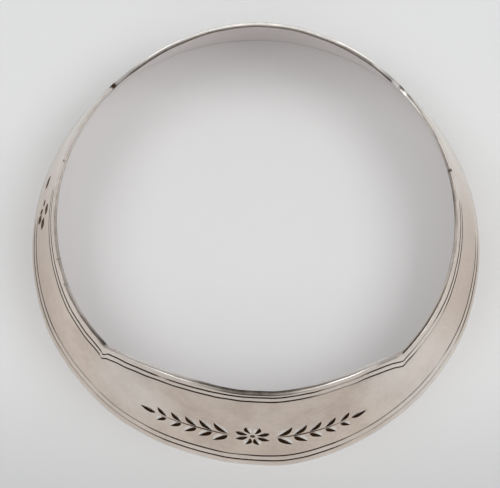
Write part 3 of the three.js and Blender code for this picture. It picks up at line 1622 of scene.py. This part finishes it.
@dataclass(frozen=True)
class MetalFinish:
    """A hand-worn metal: its colours, its gloss and its marks, in metres and degrees.

    A pair of roughnesses or strengths holds the one at one end of a pattern and the one at the
    other end. A hairline is given by its turn and by how many lie side by side in a metre.
    """

    name: str
    clean: Colour = (0.82, 0.71, 0.62)
    patina: Colour = (0.67, 0.56, 0.48)
    # Painted sheen: the metal is paler and greyer towards the back, where the wall mirrors the pale floor at
    # a grazing angle.
    back_sheen: Colour = (0.88, 0.85, 0.80)
    # Rubbed metal, also the colour of painted highlights.
    rubbed_and_sheen: Colour = (0.93, 0.905, 0.87)
    blush: Colour = (0.985, 0.90, 0.88)
    # Tarnish, also the colour of painted shade.
    tarnish_and_shade: Colour = (0.034, 0.021, 0.013)
    edge_tint: Colour = (1.0, 1.0, 1.0)
    tarnish_edge_tint: Colour = (0.70, 0.48, 0.34)
    roughness: tuple[float, float] = (0.30, 0.40)
    inside_roughness: float = 0.1
    rubbed_roughness: float = 0.24
    tarnish_roughness: float = 0.5
    back_sheen_span: tuple[float, float] = (-6.0 * MM, 30.0 * MM)
    patches: Grain = Grain(9.0 * MM, 4.0, 0.6, (0.36, 0.66))
    flecks: Grain = Grain(0.9 * MM, 3.0, 0.6, (0.35, 0.7))
    dents: Grain = Grain(12.857 * MM, 3.0, 0.45)
    dent_depth: float = 0.06 * MM
    fleck_share: float = 0.3
    aged_blush: float = 0.75
    fleck_polish: tuple[float, float] = (1.1, 0.6)
    fleck_tarnish: tuple[float, float] = (0.93, 1.15)
    hairlines: tuple[tuple[float, float], ...] = ((4.0, 5200.0), (-27.0, 4300.0), (71.0, 4700.0))
    hairlines_end_to_end: float = 150.0
    hairline_detail: float = 2.0
    hairline_window: tuple[float, float] = (0.66, 0.72)
    scratch_share: float = 0.35
    scratch_depth: float = 0.006 * MM

    def scratches(self, nodes: Nodes) -> bpy.types.NodeSocket:
        """Thin scratches in several directions.

        Args:
            nodes: Node tree of the finish.

        Returns:
            A mask that is 1 in a scratch.
        """
        place = nodes.carried(WALL_PLACE, "Vector")
        masks = []
        for turn, side_by_side in self.hairlines:
            run = nodes.stretched(place, (self.hairlines_end_to_end, side_by_side, 1.0), turn)
            masks.append(nodes.window(nodes.cloud(run, 1.0, self.hairline_detail), self.hairline_window))
        shown, *others = masks
        for mask in others:
            shown = nodes.math("MAXIMUM", shown, mask)
        return shown

    def marks(self, nodes: Nodes) -> Marks:
        """Finds where the marks show, from the wear that the meshes carry and the patterns.

        Args:
            nodes: Node tree of the finish.

        Returns:
            The marks.
        """
        space = nodes.space("Object")
        tarnish_and_shade, polish_and_sheen, blush = (nodes.carried(kind) for kind in Wear._fields)
        patches, flecks = self.patches.cloud(nodes, space), self.flecks.cloud(nodes, space)
        aged_patches = nodes.window(patches, self.patches.window)
        aged_flecks = nodes.window(flecks, self.flecks.window)
        return Marks(
            space=space,
            aged=nodes.between(self.fleck_share, aged_patches, aged_flecks),
            blush=blush,
            bright=nodes.math("MULTIPLY", polish_and_sheen, nodes.between(flecks, *self.fleck_polish), clamp=True),
            scratches=self.scratches(nodes),
            held=nodes.math("MULTIPLY", tarnish_and_shade, nodes.between(flecks, *self.fleck_tarnish), clamp=True),
        )

    def colour(self, nodes: Nodes, marks: Marks) -> bpy.types.NodeSocket:
        """Lays the metal's colours over each other.

        Args:
            nodes: Node tree of the finish.
            marks: Where its marks show.

        Returns:
            The colour.
        """
        metal = nodes.blend(marks.aged, self.clean, self.patina)
        layers = []
        for tone_spot in TONE_SPOTS:
            spot = nodes.spot(marks.space, tone_spot.place, tone_spot.reach)
            tone = self.rubbed_and_sheen if tone_spot.share > 0.0 else self.patina
            layers.append((nodes.math("MULTIPLY", spot, abs(tone_spot.share)), tone))
        blush_left = nodes.between(marks.aged, 1.0, self.aged_blush)
        layers += (
            # Painted sheen towards the back of the ring.
            (nodes.window(nodes.part(marks.space, "Y"), self.back_sheen_span), self.back_sheen),
            (nodes.math("MULTIPLY", marks.blush, blush_left), self.blush),
            (marks.bright, self.rubbed_and_sheen),
            (nodes.math("MULTIPLY", marks.scratches, self.scratch_share), self.rubbed_and_sheen),
            (marks.held, self.tarnish_and_shade),
        )
        for share, tone in layers:
            metal = nodes.blend(share, metal, tone)
        return metal

    def gloss(self, nodes: Nodes, marks: Marks) -> bpy.types.NodeSocket:
        """Lays the roughnesses over each other.

        Args:
            nodes: Node tree of the finish.
            marks: Where its marks show.

        Returns:
            The roughness.
        """
        rough = nodes.between(marks.aged, *self.roughness)
        rough = nodes.between(marks.blush, rough, self.inside_roughness)
        rough = nodes.between(marks.bright, rough, self.rubbed_roughness)
        return nodes.between(marks.held, rough, self.tarnish_roughness)

    def relief(self, nodes: Nodes, marks: Marks) -> bpy.types.NodeSocket:
        """Shallow dents, with scratches in them.

        Args:
            nodes: Node tree of the finish.
            marks: Where its marks show.

        Returns:
            The direction that the surface faces.
        """
        dents = nodes.bump(self.dents.cloud(nodes, marks.space), self.dent_depth)
        scratches = nodes.bump(marks.scratches, self.scratch_depth, invert=True)
        nodes.feed(scratches.inputs["Normal"], dents.outputs["Normal"])
        return scratches.outputs["Normal"]

    def material(self) -> bpy.types.Material:
        """Makes the metal's procedural material.

        Returns:
            The material, which reads the wear that the meshes carry.
        """
        made = bpy.data.materials.new(self.name)
        made.use_nodes = True
        nodes = Nodes(made.node_tree)
        marks = self.marks(nodes)
        nodes.surface({
            "Base Color": self.colour(nodes, marks),
            "Metallic": 1.0,
            "Roughness": self.gloss(nodes, marks),
            "Specular Tint": nodes.blend(marks.held, self.edge_tint, self.tarnish_edge_tint),
            "Normal": self.relief(nodes, marks),
        })
        return made


SILVER = MetalFinish("worn_silver")
SOLDER = MetalFinish(
    "filed_solder",
    clean=(0.76, 0.66, 0.575),
    patina=(0.60, 0.505, 0.43),
    rubbed_and_sheen=(0.86, 0.81, 0.75),
    roughness=(0.38, 0.48),
)


@dataclass(frozen=True)
class PaperFinish:
    """Matt paper, painted darker in front of the ring for the soft shade that lies there, and paler at the
    far end of its span, which runs towards the back in metres.
    """

    name: str = "paper"
    # Painted shade: the paper is darker in front of the ring.
    front: Colour = (0.485, 0.488, 0.491)
    back: Colour = (0.650, 0.653, 0.656)
    span: tuple[float, float] = (-60.0 * MM, -10.0 * MM)
    roughness: float = 0.9
    shine: float = 0.1

    def material(self) -> bpy.types.Material:
        """Makes the paper's material.

        Returns:
            The material.
        """
        made = bpy.data.materials.new(self.name)
        made.use_nodes = True
        nodes = Nodes(made.node_tree)
        towards_back = nodes.window(nodes.part(nodes.space("Object"), "Y"), self.span)
        nodes.surface({
            "Base Color": nodes.blend(towards_back, self.front, self.back),
            "Roughness": self.roughness,
            "Specular IOR Level": self.shine,
        })
        return made


class PunchMark(NamedTuple):
    """A blank punch beside the left seam: its middle and its size, in degrees and millimetres."""

    angle: float
    height: float
    length: float
    width: float
    turn: float = 0.0


PUNCH_MARKS = (
    PunchMark(-103.7, 6.8, 2.4, 2.6, 8.0),
    PunchMark(-97.1, 8.5, 1.1, 1.6),
    PunchMark(-94.1, 11.7, 1.9, 2.4, 5.0),
    PunchMark(-95.2, 6.9, 1.0, 2.2),
    PunchMark(-93.3, 6.2, 1.5, 2.9),
    PunchMark(-91.0, 9.2, 1.9, 2.7, 6.0),
)


@dataclass
class NeckRing:
    """The ring itself: two engraved strips of sheet and the two soldered seams that join them.

    Each stretch that holds cuts lies between two angles, in degrees.
    """

    wall: Wall
    ornament_stretch: tuple[float, float] = (-34.0, 34.0)
    front_punch_stretch: tuple[float, float] = (-99.5, -88.5)
    back_punch_stretch: tuple[float, float] = (252.5, 258.5)
    seam_columns: float = 6.0
    seam_sink: float = 0.02 * MM

    def punched(self, start: float, end: float) -> CutPatch:
        """The stretch between two angles, with the blank punches that lie in it.

        Args:
            start: Angle where the stretch starts.
            end: Angle where it ends.

        Returns:
            The stretch, as a patch of the strip.
        """
        cuts: list[Cut] = []
        for mark in PUNCH_MARKS:
            for angle in (mark.angle, mark.angle + FULL_TURN):
                if start < angle < end:
                    middle = (self.wall.arc(angle), mark.height * MM)
                    cuts.append(PunchDent(middle, mark.length * MM, mark.width * MM, mark.turn))
        return CutPatch(start, end, cuts)

    def strip(self, name: str, start: float, end: float, patches: list[CutPatch]) -> bpy.types.Object:
        """Makes one strip between two seams.

        Args:
            name: Name of the piece.
            start: Angle of the seam at its start.
            end: Angle of the seam at its end.
            patches: Stretches that hold cuts.

        Returns:
            The strip's object.
        """
        half = self.wall.sizes.seam_half_angle
        section = SheetSection(self.wall)
        return SheetSweep(name, section, start + half, end - half, patches=patches).build()

    def seam(self, name: str, angle: float) -> bpy.types.Object:
        """Makes one soldered seam, slightly sunk between the strips.

        Args:
            name: Name of the piece.
            angle: Place of the seam, in degrees.

        Returns:
            The seam's object.
        """
        half = self.wall.sizes.seam_half_angle

        def sunk(place: float, point: SectionPoint) -> float:
            """How far the solder lies below the sheet, on either face."""
            across = 1.0 - abs(place - angle) / half
            outside = 1.0 if point.depth < self.wall.sizes.thickness / 2.0 else -1.0
            return outside * self.seam_sink * across

        section = SheetSection(self.wall)
        step = 2.0 * half / self.seam_columns
        return SheetSweep(name, section, angle - half, angle + half, step, sunk=sunk).build()

    def build(self, silver: bpy.types.Material, solder: bpy.types.Material) -> None:
        """Makes and dresses every piece of the ring.

        Args:
            silver: Finish of the sheet.
            solder: Finish of the seams.
        """
        left, right = self.wall.sizes.left_seam_angle, self.wall.sizes.right_seam_angle
        front_patches = [
            self.punched(*self.front_punch_stretch),
            CutPatch(*self.ornament_stretch, LaurelBand().cuts()),
        ]
        back_patches = [self.punched(*self.back_punch_stretch)]
        pieces = (
            (self.strip("front_strip", left, right, front_patches), "front_label_band", silver, "silver"),
            (self.strip("back_strip", right, left + FULL_TURN, back_patches), "back_band", silver, "silver"),
            (self.seam("left_seam", left), "left_solder_seam", solder, "solder"),
            (self.seam("right_seam", right), "right_solder_seam", solder, "solder"),
        )
        for piece, node, material, slot in pieces:
            piece.data.materials.append(material)
            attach(piece, BODY)
            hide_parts(node)
            LOG.info("%s stands for %s, with %d faces", piece.name, node, len(piece.data.polygons))


@dataclass(frozen=True)
class View:
    """The photograph's view of the ring, in metres and degrees, with the film in millimetres."""

    azimuth: float = 1.6
    elevation: float = 73.23
    distance: float = 0.378
    aim_right: float = -1.09 * MM
    aim_ahead: float = 0.02 * MM
    roll: float = 0.716
    sensor_width: float = 36.0
    lens: float = 144.9
    nearest: float = 0.01
    farthest: float = 50.0

    def place(self) -> bpy.types.Object:
        """Makes the camera.

        Returns:
            The camera's object, set as the scene's camera.
        """
        turn, roll = math.radians(self.azimuth), math.radians(self.roll)
        back = direction(self.azimuth, self.elevation)
        right = Vector((math.cos(turn), math.sin(turn), 0.0))
        ahead = Vector((-right.y, right.x, 0.0))
        up = back.cross(right)
        rolled_right = right * math.cos(roll) - up * math.sin(roll)
        rolled_up = right * math.sin(roll) + up * math.cos(roll)
        stand = right * self.aim_right + ahead * self.aim_ahead + back * self.distance
        lens = bpy.data.cameras.new("camera")
        lens.sensor_width = self.sensor_width
        lens.lens = self.lens
        lens.clip_start = self.nearest
        lens.clip_end = self.farthest
        camera = linked("camera", lens)
        turned = Matrix((rolled_right, rolled_up, back)).transposed()
        camera.matrix_world = Matrix.Translation(stand) @ turned.to_4x4()
        bpy.context.scene.camera = camera
        return camera


@dataclass(frozen=True)
class SoftBox:
    """A soft square lamp that looks at the ring, in metres, degrees and watts."""

    name: str
    azimuth: float
    elevation: float
    power: float
    distance: float = 1.0
    size: float = 0.5

    def place(self) -> bpy.types.Object:
        """Makes the lamp.

        Returns:
            The lamp's object, aimed at the origin.
        """
        way = direction(self.azimuth, self.elevation)
        lamp = bpy.data.lights.new(self.name, "AREA")
        lamp.shape = "SQUARE"
        lamp.size = self.size
        lamp.energy = self.power
        box = linked(self.name, lamp)
        box.location = way * self.distance
        box.rotation_mode = "QUATERNION"
        box.rotation_quaternion = way.to_track_quat("Z", "Y")
        return box


@dataclass
class Studio:
    """The pale floor, the room's soft light and the lamps."""

    floor_size: float = 6.0
    floor_gap: float = 0.004 * MM
    paper: PaperFinish = PaperFinish()
    horizon: float = 0.78
    overhead: float = 0.64
    sky_span: tuple[float, float] = (0.2, 0.6)
    boxes: tuple[SoftBox, ...] = (
        SoftBox("left_box", -86.0, 62.0, 2.8),
        SoftBox("right_box", 86.0, 58.0, 3.8),
        SoftBox("front_box", 6.0, 55.0, 1.2),
    )

    def floor(self) -> None:
        """Makes the floor, just below the ring's foot."""
        half, level = self.floor_size / 2.0, -self.floor_gap
        corners = [(-half, -half, level), (half, -half, level), (half, half, level), (-half, half, level)]
        mesh = bpy.data.meshes.new("floor")
        mesh.from_pydata(corners, [], [tuple(range(len(corners)))])
        mesh.materials.append(self.paper.material())
        linked("floor", mesh)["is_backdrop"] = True

    def room(self) -> None:
        """Lights the scene from all round, brighter at the horizon than overhead."""
        world = bpy.data.worlds.new("room")
        bpy.context.scene.world = world
        world.use_nodes = True
        nodes = Nodes(world.node_tree)
        rise = nodes.window(nodes.part(nodes.space("Generated"), "Z"), self.sky_span)
        strength = nodes.between(rise, self.horizon, self.overhead)
        light = nodes.add("ShaderNodeBackground", {"Strength": strength})
        nodes.add("ShaderNodeOutputWorld", {"Surface": light.outputs["Background"]})

    def build(self) -> None:
        """Makes the floor, the room and the lamps."""
        self.floor()
        self.room()
        for box in self.boxes:
            box.place()
        bpy.context.scene.view_settings.view_transform = "Standard"


def main() -> None:
    """Builds the ring, its studio and its camera."""
    logging.basicConfig(level=logging.INFO, format="%(message)s")
    low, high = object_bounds()
    sizes = RingSizes.from_box(low, high)
    LOG.info("foot radius %.2f mm, plate height %.2f mm", sizes.foot_radius / MM, sizes.plate_height / MM)
    View().place()
    Studio().build()
    wall = Wall(sizes, Unevenness())
    NeckRing(wall).build(SILVER.material(), SOLDER.material())


if __name__ == "__main__":
    main()
